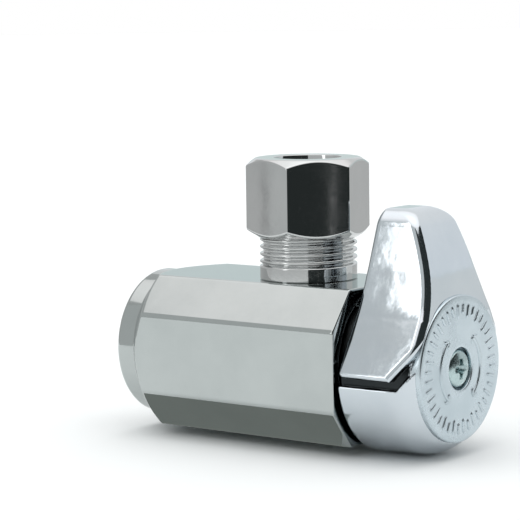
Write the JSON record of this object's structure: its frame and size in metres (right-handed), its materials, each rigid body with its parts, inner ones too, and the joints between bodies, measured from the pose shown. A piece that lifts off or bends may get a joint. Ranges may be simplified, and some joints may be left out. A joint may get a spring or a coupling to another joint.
{
  "type": "angle stop valve",
  "caption": "Quarter-turn angle stop valve with an octagonal chrome body, female threaded inlet, compression outlet with nut, and lever handle.",
  "frame": {"origin": "middle of the inlet's mouth, where the valve is screwed on to its pipe", "axes": "+X along the main axis from the inlet to the handle, +Z along the outlet"},
  "size_m": [0.0542, 0.0268, 0.0417],
  "materials": {
    "body_plating": "polished bright chrome plate",
    "outlet_plating": "polished bright chrome plate on turned threads",
    "nut_plating": "polished bright chrome plate",
    "handle_plating": "bright chrome plate on a die casting",
    "zinc_screw": "zinc plated steel",
    "ball_plating": "mirror polished",
    "bonnet_plating": "dark satin nickel plate",
    "bare_brass": "turned brass",
    "ferrule_brass": "turned brass",
    "ptfe": "satin white PTFE",
    "nitrile": "matte black nitrile rubber"
  },
  "bodies": {
    "valve": {"valve_body": "body_plating", "outlet_nipple": "outlet_plating", "outlet_o_ring": "nitrile", "outlet_seat": "ptfe", "inlet_seat": "ptfe", "inlet_seat_o_ring": "nitrile", "bonnet_seat": "ptfe", "bonnet": "bonnet_plating", "bonnet_o_ring": "nitrile", "stem_thrust_washer": "ptfe"},
    "handle": {"handle": "handle_plating", "handle_screw": "zinc_screw", "stem": "bare_brass", "ball": "ball_plating", "stem_o_ring_inner": "nitrile", "stem_o_ring_outer": "nitrile"},
    "ferrule": {"compression_ferrule": "ferrule_brass"},
    "nut": {"compression_nut": "nut_plating"}
  },
  "joints": [
    {"name": "handle_turn", "type": "hinge", "parent": "valve", "child": "handle", "pos_m": [0, 0, 0], "axis": [-1, 0, 0], "range_deg": [0, 90]},
    {"name": "nut_lift", "type": "slide", "parent": "valve", "child": "ferrule", "axis": [0, 0, 1], "range_m": [0, 0.00476]},
    {"name": "nut_turn", "type": "hinge", "parent": "ferrule", "child": "nut", "pos_m": [0.028, 0, 0], "axis": [0, 0, 1], "range_deg": [0, 1620]}
  ],
  "couplings": [
    {"joint": "nut_lift", "follows": "nut_turn", "m_per_rad": 0.00016844}
  ]
}
